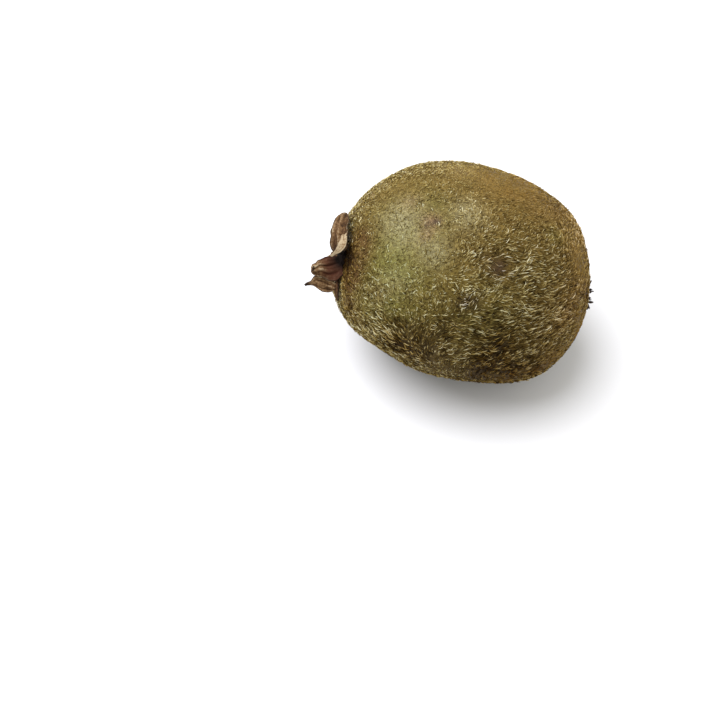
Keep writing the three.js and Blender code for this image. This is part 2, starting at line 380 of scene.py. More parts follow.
def skin_tones(points, photograph):
    """Soft masks for the colours of skin and hair: tone and mark, three channels each."""
    directions = unit(points - photograph.middle)
    wobble = 1 + 0.35 * lattice_noise(points, 5.0, 21) + 0.2 * lattice_noise(points, 2.0, 22)
    tone = [patch_weight(directions, TONE_PATCHES[key], photograph) for key in ("golden", "green", "dark")]
    # Painted shade: darker towards the bottom, partly the skin's own brown
    underside_shade = smoothstep(-directions[:, 2], 0.0, 0.75)
    # Painted shadow round the hollow under the calyx's flap
    hollow_shadow = onto_end(np.array(HOLLOW), -1, photograph.middle)
    away = np.linalg.norm(points - hollow_shadow, axis=1)
    tone[2] = np.maximum(tone[2], underside_shade * UNDERSIDE_PAINTED_SHADE)
    tone[2] += HOLLOW_PAINTED_SHADOW * np.exp(-((away / HOLLOW_SHADOW_SPREAD) ** 2))
    mark = [patch_weight(directions, MARK_PATCHES[key], photograph) for key in ("calyx", "scuff", "blush")]
    masks = [np.clip(channel * wobble, 0, 1) for channel in tone + mark]
    return np.stack(masks[:3], axis=1), np.stack(masks[3:], axis=1)


# Meshes
def new_mesh(name, points, faces):
    """An object from points in millimetres and a list of face arrays."""
    mesh = bpy.data.meshes.new(name)
    sizes = np.concatenate([np.full(len(part), part.shape[1]) for part in faces])
    corners = np.concatenate([part.ravel() for part in faces])
    mesh.vertices.add(len(points))
    mesh.vertices.foreach_set("co", (points / METRE).astype(np.float32).ravel())
    mesh.loops.add(len(corners))
    mesh.loops.foreach_set("vertex_index", corners.astype(np.int32))
    mesh.polygons.add(len(sizes))
    mesh.polygons.foreach_set("loop_start", (np.cumsum(sizes) - sizes).astype(np.int32))
    mesh.polygons.foreach_set("use_smooth", np.ones(len(sizes), bool))
    mesh.update()
    mesh.validate()
    piece = bpy.data.objects.new(name, mesh)
    bpy.context.scene.collection.objects.link(piece)
    return piece


def set_colour(piece, name, values):
    """Three channels a point, kept as a colour attribute."""
    layer = piece.data.attributes.new(name, "FLOAT_COLOR", "POINT")
    filled = np.ones((len(values), 4), np.float32)
    filled[:, :3] = values
    layer.data.foreach_set("color", filled.ravel())


def set_value(piece, name, values):
    """One number a point."""
    layer = piece.data.attributes.new(name, "FLOAT", "POINT")
    layer.data.foreach_set("value", values.astype(np.float32).ravel())


def dress(piece, slot, material, *nodes):
    piece.data.materials.append(material)
    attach(piece, "root")
    if nodes:
        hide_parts(*nodes)


# Materials
BUMP_STRENGTH = 0.8


class Graph:
    """A material's nodes, with short calls to add and join them."""

    def __init__(self, name):
        self.material = bpy.data.materials.new(name)
        self.material.use_nodes = True
        self.tree = self.material.node_tree
        self.shader = self.tree.nodes["Principled BSDF"]

    def fill(self, socket, value):
        if isinstance(value, bpy.types.NodeSocket):
            self.tree.links.new(value, socket)
        else:
            socket.default_value = value

    def add(self, kind, inputs=None, **settings):
        made = self.tree.nodes.new(kind)
        for key, value in settings.items():
            setattr(made, key, value)
        for key, value in (inputs or {}).items():
            self.fill(made.inputs[key], value)
        return made

    def place(self):
        return self.add("ShaderNodeTexCoord").outputs["Object"]

    def noise(self, size, detail=3.0, roughness=0.55):
        """Noise with features of about size millimetres."""
        inputs = {"Vector": self.place(), "Scale": METRE / size, "Detail": detail, "Roughness": roughness}
        return self.add("ShaderNodeTexNoise", inputs).outputs["Fac"]

    def ramp(self, factor, *stops):
        """A colour ramp through pairs of position and colour."""
        made = self.add("ShaderNodeValToRGB", {"Fac": factor})
        points = made.color_ramp.elements
        while len(points) < len(stops):
            points.new(0.5)
        for point, (position, colour) in zip(points, stops):
            point.position = position
            point.color = (*colour, 1)
        return made.outputs["Color"]

    def mix(self, factor, first, second, blend="MIX"):
        made = self.add("ShaderNodeMix", data_type="RGBA", blend_type=blend)
        self.fill(made.inputs[0], factor)
        for socket, value in ((made.inputs[6], first), (made.inputs[7], second)):
            self.fill(socket, (*value, 1) if isinstance(value, tuple) else value)
        return made.outputs[2]

    def scaled(self, value, low, high, to_low=0.0, to_high=1.0):
        inputs = {"Value": value, "From Min": low, "From Max": high, "To Min": to_low, "To Max": to_high}
        return self.add("ShaderNodeMapRange", inputs).outputs["Result"]

    def maths(self, operation, first, second):
        made = self.add("ShaderNodeMath", operation=operation)
        self.fill(made.inputs[0], first)
        self.fill(made.inputs[1], second)
        return made.outputs["Value"]

    def channels(self, name):
        layer = self.add("ShaderNodeAttribute", attribute_name=name)
        return self.add("ShaderNodeSeparateColor", {"Color": layer.outputs["Color"]}).outputs

    def bump(self, height, distance):
        """Bump of a height in millimetres."""
        inputs = {"Height": height, "Distance": distance / METRE, "Strength": BUMP_STRENGTH}
        return self.add("ShaderNodeBump", inputs).outputs["Normal"]

    def finish(self, colour, roughness, normal=None, *, specular):
        self.fill(self.shader.inputs["Base Color"], colour)
        self.fill(self.shader.inputs["Roughness"], roughness)
        if normal:
            self.fill(self.shader.inputs["Normal"], normal)
        self.shader.inputs["Specular IOR Level"].default_value = specular
        return self.material


def skin_material():
    graph = Graph("kiwi_skin")
    golden, green, dark = (graph.channels("tone")[key] for key in ("Red", "Green", "Blue"))
    calyx, scuff, blush = (graph.channels("mark")[key] for key in ("Red", "Green", "Blue"))
    colour = graph.ramp(graph.noise(3.0, 5.0), (0.3, (0.085, 0.055, 0.012)), (0.7, (0.17, 0.12, 0.034)))
    colour = graph.mix(graph.maths("MULTIPLY", green, 0.8), colour, (0.15, 0.155, 0.035))
    colour = graph.mix(graph.maths("MULTIPLY", golden, 0.6), colour, (0.22, 0.135, 0.038))
    # Painted sheen: pale grey-green where light is reflected from the skin
    painted_sheen = graph.add("ShaderNodeAttribute", attribute_name="painted_sheen").outputs["Fac"]
    colour = graph.mix(graph.maths("MULTIPLY", painted_sheen, 0.8), colour, (0.26, 0.245, 0.145))
    colour = graph.mix(graph.maths("MULTIPLY", blush, 0.7), colour, (0.21, 0.13, 0.085))
    colour = graph.mix(graph.maths("MULTIPLY", calyx, 0.95), colour, (0.09, 0.048, 0.018))
    # Painted shade: near-black underneath and round the calyx's hollow, partly the skin's own darker brown
    colour = graph.mix(graph.maths("MULTIPLY", dark, 0.85), colour, (0.016, 0.009, 0.003))
    colour = graph.mix(graph.maths("MULTIPLY", scuff, 0.9), colour, (0.035, 0.02, 0.014))
    pores = graph.noise(0.7, 4.0, 0.7)
    colour = graph.mix(graph.scaled(pores, 0.35, 0.62, 0.6, 0.0), colour, (0.035, 0.022, 0.006))
    down = graph.ramp(graph.noise(0.3, 2.0, 0.7), (0.35, (0.62, 0.58, 0.5)), (0.65, (1.45, 1.4, 1.2)))
    colour = graph.mix(1.0, colour, down, "MULTIPLY")
    roughness = graph.scaled(graph.noise(1.6), 0.3, 0.7, 0.42, 0.6)
    normal = graph.bump(graph.noise(0.5, 3.0, 0.6), 0.12)
    return graph.finish(colour, roughness, normal, specular=0.08)


# How each mark or tone tints the hairs: its channel, how much of it shows, and the tint
HAIR_TINTS = [
    ("tone", "Green", 0.7, (0.82, 0.97, 0.88)),
    ("tone", "Red", 0.85, (1.06, 0.84, 0.68)),
    ("mark", "Blue", 0.8, (0.98, 0.82, 0.88)),
    ("mark", "Red", 0.9, (0.78, 0.6, 0.46)),
    # Painted shade: hairs darker underneath and round the calyx's hollow
    ("tone", "Blue", 0.9, (0.72, 0.56, 0.32)),
    ("mark", "Green", 0.9, (0.74, 0.66, 0.9)),
]


def hair_material(name, *stops):
    """A hair's colour runs through the stops from root to tip and from dark hairs to pale ones."""
    graph = Graph(name)
    shade = graph.add("ShaderNodeAttribute", attribute_name="shade").outputs["Fac"]
    colour = graph.ramp(shade, *stops)
    for layer, channel, amount, tint in HAIR_TINTS:
        tinted = graph.mix(1.0, colour, tint, "MULTIPLY")
        share = graph.maths("MULTIPLY", graph.channels(layer)[channel], amount)
        colour = graph.mix(share, colour, tinted)
    return graph.finish(colour, 0.6, specular=0.04)


# Hairs
CELL_MARGIN = 0.08  # of a hair's cell of the map, left free on each side


def tubes(paths, radii, facing):
    """Closed three-sided tubes that run along bent paths to a point.

    paths: hairs by stations by 3. radii: hairs by all stations but the last. facing: one
    direction a hair, which its first side turns to. Returns points and faces.
    """
    hairs, stations, _ = paths.shape
    ahead = unit(np.diff(paths, axis=1))
    sideways = unit(np.cross(ahead, facing[:, None, :]))
    upwards = np.cross(sideways, ahead)
    rings = []
    for degrees in (90, 210, 330):
        turn = math.radians(degrees)
        side = sideways * math.cos(turn) + upwards * math.sin(turn)
        rings.append(paths[:, :-1] + side * radii[..., None])
    each = 3 * (stations - 1) + 1
    points = np.empty((hairs, each, 3))
    points[:, :-1] = np.stack(rings, axis=2).reshape(hairs, -1, 3)
    points[:, -1] = paths[:, -1]
    first = np.arange(hairs)[:, None] * each
    quads = []
    for station, side in itertools.product(range(stations - 2), range(3)):
        here, there = 3 * station + side, 3 * station + (side + 1) % 3
        quads.append(first + np.array([here, there, there + 3, here + 3]))
    tips = []
    for side in range(3):
        tips.append(first + np.array([each - 4 + side, each - 4 + (side + 1) % 3, each - 1]))
    root = first + np.array([2, 1, 0])
    faces = [np.stack(quads, axis=1), np.stack(tips, axis=1), root[:, None]]
    return points.reshape(-1, 3), faces


def hair_cells(hairs, stations):
    """One cell of the map a hair: its sides across, its length upwards. A pair a corner."""
    grid = math.ceil(math.sqrt(hairs))
    index = np.arange(hairs)
    corner = np.stack([index % grid, index // grid], axis=1)[:, None, :] / grid
    rise = np.linspace(0.14, 1, stations)
    quads = []
    for station, side in itertools.product(range(stations - 2), range(3)):
        low, high = side / 3, (side + 1) / 3
        near, far = rise[station], rise[station + 1]
        quads += [(low, near), (high, near), (high, far), (low, far)]
    tips = []
    for side in range(3):
        tips += [(side / 3, rise[-2]), ((side + 1) / 3, rise[-2]), ((side + 0.5) / 3, 1)]
    root = [(0, 0), (1, 0), (0.5, 0.1)]
    cells = []
    for part in (quads, tips, root):
        inside = CELL_MARGIN + (1 - 2 * CELL_MARGIN) * np.array(part)
        cells.append((corner + inside / grid).reshape(-1, 2))
    return cells


def scattered(count, points, normals, faces, rng):
    """Random places on the skin, even by area, with their normals."""
    triangles = np.concatenate([faces[:, [0, 1, 2]], faces[:, [0, 2, 3]]])
    a, b, c = (points[triangles[:, k]] for k in range(3))
    area = np.linalg.norm(np.cross(b - a, c - a), axis=1)
    chosen = triangles[rng.choice(len(triangles), count, p=area / area.sum())]
    share = rng.random((count, 2))
    share[share.sum(axis=1) > 1] = 1 - share[share.sum(axis=1) > 1]
    weights = np.column_stack([1 - share.sum(axis=1), share])
    place = (points[chosen] * weights[..., None]).sum(axis=1)
    return place, unit((normals[chosen] * weights[..., None]).sum(axis=1))


def lay_of_hairs(directions, normals, photograph):
    """Unit directions along the skin in which the hairs lie, and their scatter in radians."""
    plain = PLAIN_LAY["weight"]
    flow = np.tile(plain * np.array(PLAIN_LAY["towards"]), (len(directions), 1))
    scatter = np.full(len(directions), plain * PLAIN_LAY["scatter"])
    weight = np.full(len(directions), plain)
    for pixel, degrees, spread, scatter_here in LAY:
        near = np.exp(-(1 - directions @ photograph.direction(pixel)) / spread)
        flow += near[:, None] * photograph.across(degrees)
        scatter += near * scatter_here
        weight += near
    flow -= normals * (flow * normals).sum(axis=1, keepdims=True)
    return unit(flow), np.radians(scatter / weight)


def turned_about(vectors, axes, angles):
    c, s = np.cos(angles)[:, None], np.sin(angles)[:, None]
    return vectors * c + np.cross(axes, vectors) * s


def clear_of(place, tree, distance):
    """Which places lie further than a distance from every point of a tree."""
    return np.array([tree.find(spot)[2] > distance for spot in place.tolist()])


def hair_roots(coat, skin, photograph, shift, ends, rng):
    """Where a coat's hairs grow, with the skin's normals and the directions from the middle."""
    points, normals, faces = skin
    count = coat["count"]
    place, normal = scattered(int(count * SPARE_ROOTS), points, normals, faces, rng)
    kept = place[:, 2] > ROOT_HEIGHT
    for end, clear in ((seat_place(-1, shift), BUTTON_CLEAR), (seat_place(1, shift), STYLE_CLEAR)):
        kept &= np.linalg.norm(place - end, axis=1) > clear
    kept &= clear_of(place, ends, END_CLEAR)
    place, normal = place[kept][:count], normal[kept][:count]
    directions = unit(place - photograph.middle)
    thin = patch_weight(directions, COAT_PATCHES["thin"] + MARK_PATCHES["scuff"], photograph)
    kept = rng.random(len(place)) > THINNING * thin
    return place[kept], normal[kept], directions[kept]


def hair_paths(coat, place, normal, flow, smooth, long, rng):
    """Paths of hairs that rise from the skin and bend down along their flow."""
    count, stations = len(place), coat["stations"]
    low, high = coat["lengths"]
    length = rng.uniform(low, high, count) * (1 - 0.35 * smooth) * (0.75 + 0.6 * long)
    low, high = coat["lift"]
    rise = np.radians(rng.uniform(low, high, count)) * (1 - 0.4 * smooth) * (1 - 0.25 * long)
    step = length / (stations - 1)
    path = [place - normal * ROOT_DEPTH]
    at = place + normal * HAIR_START
    along = flow
    for station in range(stations - 1):
        tilt = rise * (1 - 0.95 * station / (stations - 2)) - 0.10 * station
        ahead = along * np.cos(tilt)[:, None] + normal * np.sin(tilt)[:, None]
        at = at + ahead * step[:, None]
        path.append(at)
        along = turned_about(along, normal, rng.normal(0, WANDER, count))
    paths = np.stack(path, axis=1)
    paths[..., 2] = np.maximum(paths[..., 2], HAIR_FLOOR)
    return paths


def hair_shades(coat, place, directions, tone, mark, smooth, long, photograph, rng):
    """Each hair's shade from dark to pale, at its points from root to tip."""
    dark = tone[:, 2]
    calyx, scuff, blush = mark.T
    pale, bold = (patch_weight(directions, COAT_PATCHES[key], photograph) for key in ("pale", "bold"))
    # Painted shadow: where the dark tone meets the calyx mark, the hairs are painted near-black as the shadow
    # in the calyx's hollow
    hollow_shadow = dark * calyx
    contrast = 1 + 1.3 * dark + 0.3 * long + 1.6 * scuff + 1.5 * blush + 1.4 * bold
    contrast *= (1 - 0.75 * smooth) * (1 - 0.8 * hollow_shadow)
    own = 0.22 * rng.normal(size=len(place)) + 0.3 * lattice_noise(place, SHADE_SIZE, SHADE_SEED)
    own = MIDDLE_SHADE + own * contrast + coat["level"] * smooth
    # Painted light from the pale patches; painted shade from the dark tone and the hollow's shadow
    own += 0.2 * pale - 0.46 * dark - 0.24 * scuff + 0.1 * blush - 0.6 * hollow_shadow - 0.1 * calyx
    share = np.append(np.repeat(np.linspace(0, 0.8, coat["stations"] - 1), 3), 1)
    paler = 0.7 * (share - 0.6)[None, :] * (1 - 0.75 * smooth)[:, None]
    return np.clip(own[:, None] + paler, 0, 1)


def make_fur(coat, skin, photograph, shift, ends, material):
    """A coat of hairs, each a closed tube with its own cell of the map."""
    rng = np.random.default_rng(coat["seed"])
    place, normal, directions = hair_roots(coat, skin, photograph, shift, ends, rng)
    count, stations = len(place), coat["stations"]
    flow, scatter = lay_of_hairs(directions, normal, photograph)
    clump = lattice_noise(place, CLUMP_SIZE, CLUMP_SEED)
    flow = turned_about(flow, normal, scatter * (1.2 * clump + 0.4 * rng.normal(size=count)))
    tone, mark = skin_tones(place, photograph)
    smooth, long = (patch_weight(directions, COAT_PATCHES[key], photograph) for key in ("smooth", "long"))
    paths = hair_paths(coat, place, normal, flow, smooth, long, rng)
    thick = coat["radius"] * rng.uniform(0.8, 1.2, count)
    taper = np.linspace(1, 0.75, stations - 1)
    tube_points, tube_faces = tubes(paths, thick[:, None] * taper, normal)
    piece = new_mesh(coat["name"], tube_points, [part.reshape(-1, part.shape[-1]) for part in tube_faces])
    layer = piece.data.uv_layers.new(name="OFBake")
    layer.data.foreach_set("uv", np.concatenate(hair_cells(count, stations)).astype(np.float32).ravel())
    shade = hair_shades(coat, place, directions, tone, mark, smooth, long, photograph, rng)
    set_value(piece, "shade", shade)
    set_colour(piece, "tone", np.repeat(tone, shade.shape[1], axis=0))
    set_colour(piece, "mark", np.repeat(mark, shade.shape[1], axis=0))
    dress(piece, "skin", material)


# The ends
def seat_place(side, shift):
    """The bottom of an end's dimple, where its piece is seated."""
    dimple = STEM_DIMPLE if side < 0 else BLOSSOM_DIMPLE
    polar = math.asin(math.hypot(dimple["y"], dimple["z"]) / (WIDTH / 2))
    azimuth = math.atan2(-dimple["y"], dimple["z"])
    round = math.sin(polar)
    direction = (side * math.cos(polar), -round * math.sin(azimuth), round * math.cos(azimuth))
    return (tilted(skin_points(np.array([direction]))) + shift)[0]


def onto_end(points, side, shift):
    """Moves points from an end's own frame, with +Z away from the fruit, to that end."""
    x, y, z = points[..., 0], points[..., 1], points[..., 2]
    turned = np.stack([side * z, y, -side * x], axis=-1)
    return tilted(turned) + seat_place(side, shift)


# Calyx
BUTTON_RADIUS = 4.1
BUTTON_HEIGHT = 1.5
SCAR_RADIUS = 2.0
BUTTON_SIDES = 72
BUTTON_RINGS = 40
# Painted shadow: the calyx is painted near-black round this hollow, as far as the radius below
HOLLOW = (3.6, -3.0, 0.2)  # the dark hollow between the sepals, in the end's own frame
HOLLOW_SHADOW_RADIUS = 2.6
SEPAL_THICKNESS = 0.3
SEPAL_ROWS = 60
SEPAL_COLUMNS = 30
# Each dried sepal spans two edges from its root to its tip, left and right as seen from outside.
# A station is given as up, to the far side and away from the fruit, from the dimple's bottom.
# Tone runs from dark to pale, and ridges lie from root to tip.
SEPALS = [
    {  # the hood
        "left": [(1, -0.6, 1), (1.8, 0.8, 2.7), (3.8, 2, 3.5), (5.3, 4, 3.7), (6, 6.5, 2.9), (6.1, 8.2, 1.5)],
        "right": [
            (3.4, -2.2, 0.6), (6.6, -2.8, 0.3), (8.7, -1.4, 0.3), (9.5, 1.2, 0.4), (9.1, 4.1, 0.5),
            (6.9, 7.8, 0.8),
        ],
        "bulge": 1.3, "ridges": 3.0, "relief": 0.085, "tone": 0.46, "red": 0.25, "dark_tip": 0.35,
    },
    {  # the flap that folds back below the hood
        "left": [(8.8, 0.2, 0.7), (8.9, -1.8, 0.7), (8.4, -3.3, 0.8), (7, -4.2, 1.4), (4.5, -4.2, 3.2)],
        "right": [(7.4, 0.8, 1.8), (7.8, -0.6, 2.1), (7.2, -2, 2.3), (6.2, -2.9, 2.7), (4.1, -3.7, 3.7)],
        "bulge": 0.3, "ridges": 1.6, "relief": 0.06, "tone": 1.0, "red": 0.0, "dark_tip": 0.0,
    },
    {  # the outer sepal, whose tip curls back
        "left": [
            (0.6, -5.6, -0.4), (-1, -6.2, 0.8), (-1.7, -5.9, 2.2), (-1.3, -6, 3.8), (-1.2, -6, 5.3),
            (-1, -5.9, 6.3), (-0.3, -5.4, 7), (0.4, -6.1, 6.7),
        ],
        "right": [
            (2.6, -2.2, 0.4), (2.7, -2.4, 2.4), (2.4, -3, 4.2), (2, -3.3, 5.4), (1.6, -3.8, 6.3),
            (1.1, -4.2, 6.8), (0.6, -4.3, 7.2), (1.3, -5.1, 6.8),
        ],
        "bulge": 0.6, "ridges": 2.8, "relief": 0.075, "tone": 0.58, "red": 1.0, "dark_tip": 0.8,
    },
    {  # the lower sepal with its long thin tip
        "left": [
            (-3, -3, 0.5), (-3.8, -6.6, 0.4), (-4.2, -7.4, 1.4), (-4.4, -7.6, 3), (-4.1, -7.1, 4.6),
            (-3.7, -6.8, 6), (-3.9, -7.4, 7.5),
        ],
        "right": [
            (-1, -3.6, 0.5), (-2.2, -5.8, 0.8), (-1.8, -5.3, 1.9), (-1.6, -4.8, 3.5), (-1.6, -4.9, 5.2),
            (-2.6, -5.9, 6.4), (-3.6, -7.2, 7.8),
        ],
        "bulge": 0.5, "ridges": 2.4, "relief": 0.07, "tone": 0.5, "red": 0.1, "dark_tip": 0.9,
    },
    {  # the small sepal that lies on the skin
        "left": [(-0.8, -3.9, 0.4), (-1.9, -7, 0.2), (-3.2, -8.6, -0.3), (-4.8, -9, -0.6)],
        "right": [(-2.8, -2.8, 0.5), (-4, -5.7, 0.6), (-4.5, -7.2, 0.3), (-5.3, -8.6, -0.3)],
        "bulge": 0.2, "ridges": 2.0, "relief": 0.05, "tone": 0.2, "red": 0.3, "dark_tip": 0.8,
    },
    {  # the far sepal
        "left": [(-3.9, -1, 0.6), (-6, -1.2, 1.3), (-8, -0.4, 1.5), (-9, 0.9, 1.3)],
        "right": [(-2.2, 3.2, 0.9), (-4, 4.6, 1.8), (-6.4, 4.4, 2), (-8.7, 2.2, 1.5)],
        "bulge": 0.5, "ridges": 3.0, "relief": 0.07, "tone": 0.5, "red": 0.2, "dark_tip": 0.4,
    },
]


def edge_curve(stations, shares):
    """A smooth curve through stations, at shares of its stations from 0 to 1."""
    stations = np.array(stations, float)
    before = 2 * stations[0] - stations[1]
    after = 2 * stations[-1] - stations[-2]
    padded = np.concatenate([[before], stations, [after]])
    at = shares * (len(stations) - 1)
    first = np.minimum(at.astype(int), len(stations) - 2)
    part = (at - first)[:, None]
    a, b, c, d = (padded[first + step] for step in range(4))
    return b + part * (c - a + part * (2 * a - 5 * b + 4 * c - d + part * (3 * b - a - 3 * c + d))) / 2


def sheet_marks(share, v):
    """Flat coordinates of a sheet's points, for noise that runs over it."""
    return np.stack([a.ravel() for a in np.broadcast_arrays(share, v * 0.5, 0.5)], axis=1)


def sepal_sheet(form, seed):
    """A dried blade's middle surface, rows by columns by 3, and its light, red and dark shares."""
    shares = np.linspace(0, 1, SEPAL_ROWS + 1)
    left, right = (edge_curve(form[side], shares) for side in ("left", "right"))
    along = unit(np.gradient(left + right, axis=0))
    face = unit(np.cross(right - left, along))
    rng = np.random.default_rng(seed)
    phase = rng.uniform(0, 2 * math.pi, 5)
    v = np.linspace(-1, 1, SEPAL_COLUMNS + 1)[None, :]
    share = shares[:, None]
    waver = lattice_noise(sheet_marks(share, v), 0.45, seed + 8).reshape(SEPAL_ROWS + 1, SEPAL_COLUMNS + 1)
    swing = math.pi * form["ridges"] * v + 1.3 * waver
    ridges = 0.6 * np.sin(swing + phase[0] + 1.6 * share)
    ridges += 0.4 * np.sin(2.1 * swing + phase[1] - 2.4 * share)
    full = smoothstep(share, 0, 0.25)
    width = np.linalg.norm(right - left, axis=1)[:, None]
    ragged = 1 + full * (0.05 * np.sin(9 * share + phase[2]) + 0.04 * np.sin(26 * share + phase[3] + v))
    lift = form["bulge"] * np.sin(math.pi * share) ** 0.8 * (1 - v * v)
    lift += full * form["relief"] * width * ridges
    across = (right - left)[:, None] * (v * ragged)[..., None] / 2
    sheet = (left + right)[:, None] / 2 + across + face[:, None] * lift[..., None]
    flat = sheet.reshape(-1, 3)
    crumple = np.stack([lattice_noise(flat, 1.3, seed + k) for k in range(3)], axis=1)
    fine = np.stack([lattice_noise(flat, 0.55, seed + 3 + k) for k in range(3)], axis=1)
    grow = np.broadcast_to(full, sheet.shape[:2]).reshape(-1, 1)
    flat = flat + grow * (0.16 * crumple + 0.06 * fine)
    # Painted light and shade: the crests of the ridges lighter, the troughs darker
    light = form["tone"] + 0.3 * ridges * full + 0 * v
    red = form["red"] * (1 - smoothstep(share, 0.2, 0.65)) + 0 * v
    rim = smoothstep(np.abs(v), 0.84, 1) * 0.8
    # Dark tips: the dried tips' own darker brown, and painted shade inside the curled tip of the outer sepal
    dark = np.maximum(rim, form["dark_tip"] * smoothstep(share, 0.8, 0.97))
    return flat.reshape(sheet.shape), np.stack([light, red, dark], axis=-1).reshape(-1, 3)


def blade(sheet, thickness):
    """A closed blade round a sheet, thinner at its edges."""
    rows, columns, _ = sheet.shape
    along = np.gradient(sheet, axis=0)
    across = np.gradient(sheet, axis=1)
    normal = unit(np.cross(along, across))
    v = np.linspace(-1, 1, columns)
    half = thickness / 2 * (1 - 0.6 * v[None, :] ** 4) * np.linspace(1.2, 0.7, rows)[:, None]
    top = sheet + normal * half[..., None]
    bottom = sheet - normal * half[..., None]
    points = np.concatenate([top.reshape(-1, 3), bottom.reshape(-1, 3)])
    index = np.arange(rows * columns).reshape(rows, columns)
    below = index + rows * columns
    up_faces = [index[:-1, :-1], index[1:, :-1], index[1:, 1:], index[:-1, 1:]]
    down_faces = [below[:-1, :-1], below[:-1, 1:], below[1:, 1:], below[1:, :-1]]
    edge = np.concatenate([index[0, :-1], index[:-1, -1], index[-1, :0:-1], index[:0:-1, 0]])
    after = np.roll(edge, -1)
    lower = rows * columns
    rim = np.stack([edge, after, after + lower, edge + lower], axis=1)
    faces = [np.stack(part, axis=-1).reshape(-1, 4) for part in (up_faces, down_faces)]
    return points, np.concatenate(faces + [rim])


def corky_button(radius, height, scar, bumps, seed):
    """A rough turned button with a sunken scar: rings by points by 3, in the end's own frame."""
    profile = [
        (radius * 1.02, -1.0), (radius * 1.03, height * 0.15), (radius, height * 0.4),
        (radius * 0.9, height * 0.72), (radius * 0.78, height * 0.95), (radius * 0.66, height),
        (scar * 1.08, height * 0.93), (scar * 0.95, height * 0.75), (scar * 0.75, height * 0.62),
        (scar * 0.4, height * 0.6), (0.02, height * 0.66),
    ]
    around = np.linspace(0, 2 * math.pi, BUTTON_SIDES, endpoint=False)
    stations = np.linspace(0, len(profile) - 1, BUTTON_RINGS)
    radii = np.interp(stations, range(len(profile)), [pair[0] for pair in profile])
    heights = np.interp(stations, range(len(profile)), [pair[1] for pair in profile])
    ring = np.stack([np.cos(around), np.sin(around)], axis=1)
    points = np.concatenate([
        radii[:, None, None] * ring[None], np.repeat(heights[:, None, None], len(around), axis=1)
    ], axis=2)
    flat = points.reshape(-1, 3)
    rough = bumps * (lattice_noise(flat, 0.8, seed) + 0.5 * lattice_noise(flat, 0.35, seed + 1))
    flat = flat + unit(flat + np.array([0, 0, 0.5])) * rough[:, None]
    rows, columns = len(stations), len(around)
    index = np.arange(rows * columns).reshape(rows, columns)
    nxt = np.roll(index, -1, axis=1)
    faces = np.stack([index[:-1], nxt[:-1], nxt[1:], index[1:]], axis=-1).reshape(-1, 4)
    bottom = len(flat)
    top = bottom + 1
    flat = np.concatenate([flat, [[0, 0, heights[0]], [0, 0, heights[-1]]]])
    caps = [np.stack([nxt[0], index[0], np.full(columns, bottom)], axis=1)]
    caps.append(np.stack([index[-1], nxt[-1], np.full(columns, top)], axis=1))
    return flat, faces, np.concatenate(caps)


def end_tree(*pieces):
    """A search tree of the points of the pieces at the ends, in millimetres."""
    places = [vertex.co * METRE for piece in pieces for vertex in piece.data.vertices]
    tree = KDTree(len(places))
    for index, place in enumerate(places):
        tree.insert(place, index)
    tree.balance()
    return tree


def make_calyx(shift):
    all_points, quads, look = [], [], []
    start = 0
    for seed, form in enumerate(SEPALS):
        sheet, shares = sepal_sheet(form, 40 + 10 * seed)
        points, faces = blade(sheet, SEPAL_THICKNESS)
        all_points.append(points)
        quads.append(faces + start)
        look += [shares, shares]
        start += len(points)
    points, faces, caps = corky_button(BUTTON_RADIUS, BUTTON_HEIGHT, SCAR_RADIUS, 0.3, 90)
    all_points.append(points)
    quads.append(faces + start)
    cork = lattice_noise(points, 1.1, 92) + 0.6 * lattice_noise(points, 0.5, 93)
    look.append(np.stack([0.3 + 0.3 * cork, 0.35 - 0.2 * cork, 0.25 - 0.5 * cork], axis=1))
    local = np.concatenate(all_points)
    look = np.concatenate(look)
    # Painted shadow in the hollow under the flap
    hollow_shadow = np.exp(-((np.linalg.norm(local - np.array(HOLLOW), axis=1) / HOLLOW_SHADOW_RADIUS) ** 2))
    look[:, 2] = np.maximum(look[:, 2], hollow_shadow * 1.8)
    piece = new_mesh("dried_calyx", onto_end(local, -1, shift), [np.concatenate(quads), caps + start])
    set_colour(piece, "blade", np.clip(look, 0, 1))
    dress(piece, "dried_sepal", calyx_material(), "calyx")
    return piece


def calyx_material():
    graph = Graph("dried_sepal")
    light, red, dark = (graph.channels("blade")[key] for key in ("Red", "Green", "Blue"))
    streaks = graph.noise(0.5, 5.0, 0.65)
    broad = graph.noise(2.2, 3.0)
    tone = graph.maths("ADD", light, graph.scaled(streaks, 0.3, 0.7, -0.3, 0.3))
    tone = graph.maths("ADD", tone, graph.scaled(broad, 0.35, 0.65, -0.18, 0.18))
    colour = graph.ramp(tone, (0.0, (0.015, 0.007, 0.003)), (0.35, (0.065, 0.032, 0.011)),
                        (0.7, (0.165, 0.096, 0.042)), (1.0, (0.34, 0.265, 0.16)))
    colour = graph.mix(graph.maths("MULTIPLY", red, 0.9), colour, (0.055, 0.015, 0.007))
    # Near-black: the sepals' dark rims and tips, with painted shadow in the hollow and inside the outer
    # sepal's curled tip
    colour = graph.mix(dark, colour, (0.006, 0.003, 0.002))
    normal = graph.bump(graph.noise(0.35, 4.0, 0.7), 0.16)
    return graph.finish(colour, graph.scaled(streaks, 0.3, 0.7, 0.6, 0.85), normal, specular=0.1)


# Dried styles
STYLE_SCAR_RADIUS = 2.3
STYLE_SCAR_HEIGHT = 1.1
# Where each clump of styles ends: down, to the far side and away from the fruit
STYLE_CLUMPS = [
    (-3.9, 2.6, 1.2), (-2.3, 0.4, 2.4), (-0.7, -1.5, 3.2), (1.3, -2.7, 2.6), (3.1, -0.4, 1.9), (2, 3, 2.2),
    (-0.9, 3.9, 2.1),
]
STYLES_A_CLUMP = 6
STYLE_STATIONS = 9


